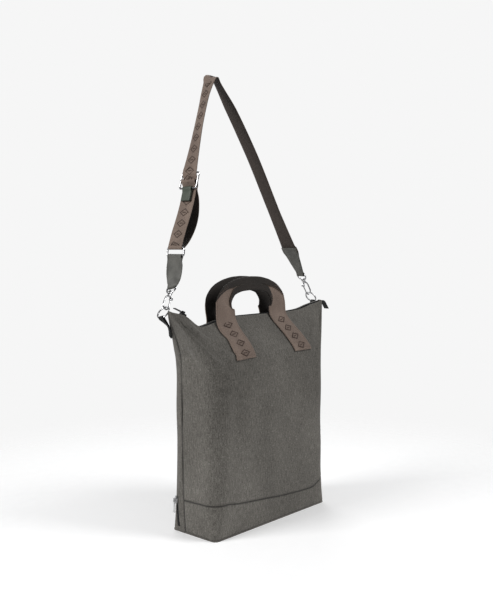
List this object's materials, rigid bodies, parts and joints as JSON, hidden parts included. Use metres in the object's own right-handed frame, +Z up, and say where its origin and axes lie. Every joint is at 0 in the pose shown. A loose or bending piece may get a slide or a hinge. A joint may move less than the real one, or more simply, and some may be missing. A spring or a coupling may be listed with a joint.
{
  "type": "convertible backpack",
  "caption": "Tall cloth bag with flared top corners, zipped mouth, folded carry handles and one adjustable shoulder strap on swivel hooks, worn on the shoulder or back.",
  "frame": {"origin": "centre of the base, on the surface that the bag stands on", "axes": "+Z up, +X to the right of someone who faces the front, front towards -Y"},
  "size_m": [0.4672, 0.1306, 0.855],
  "materials": {
    "body_cloth": "taupe grey melange twill, matt",
    "webbing": "brown woven webbing with a raised pattern of its own colour",
    "leather": "grey green fine grained leather, half matt",
    "zip_and_tape": "black woven tape and coil",
    "hardware": "polished silver colour metal"
  },
  "bodies": {
    "root": {"front_panel": "body_cloth", "base_band": "body_cloth", "back_panel": "body_cloth", "side_strip_left": "body_cloth", "side_strip_right": "body_cloth", "base_floor": "body_cloth", "handle_front": "webbing", "handle_back": "webbing", "strap_webbing": "webbing", "leather_tab_left": "leather", "leather_tab_right": "leather", "slider_tab": "leather", "side_zip_tape": "zip_and_tape", "top_zip_tape": "zip_and_tape", "top_zip_coil": "zip_and_tape", "zip_end_tab": "zip_and_tape", "ring_tab_left": "zip_and_tape", "ring_tab_right": "zip_and_tape", "side_zip_slider": "hardware", "top_zip_slider": "hardware", "swivel_eye_left": "hardware", "swivel_eye_right": "hardware", "hook_left": "hardware", "hook_right": "hardware", "ring_left": "hardware", "ring_right": "hardware", "strap_slider": "hardware", "strap_ring": "hardware"},
    "gate_left": {"hook_gate_left": "hardware"},
    "gate_right": {"hook_gate_right": "hardware"},
    "top_pull": {"top_zip_pull": "hardware"},
    "side_pull": {"side_zip_pull": "hardware"}
  },
  "joints": [
    {"name": "gate_left_hinge", "type": "hinge", "parent": "root", "child": "gate_left", "pos_m": [-0.1831, 0.03517, 0.43541], "axis": [-0.161, 0.9562, -0.2443], "range_deg": [0, 35], "stiffness_Nm_per_rad": 0.003, "springref_deg": -11.46},
    {"name": "gate_right_hinge", "type": "hinge", "parent": "root", "child": "gate_right", "pos_m": [0.19334, 0.02528, 0.44809], "axis": [-0.0328, -0.9992, -0.0237], "range_deg": [0, 35], "stiffness_Nm_per_rad": 0.003, "springref_deg": -11.46},
    {"name": "top_pull_hinge", "type": "hinge", "parent": "root", "child": "top_pull", "pos_m": [-0.1859, 0, 0.4135], "axis": [0, 1, 0], "range_deg": [0, 150]},
    {"name": "side_pull_hinge", "type": "hinge", "parent": "root", "child": "side_pull", "pos_m": [-0.16795, 0.04501, 0.05969], "axis": [0.3712, 0.9285, 0], "range_deg": [0, 150]}
  ]
}
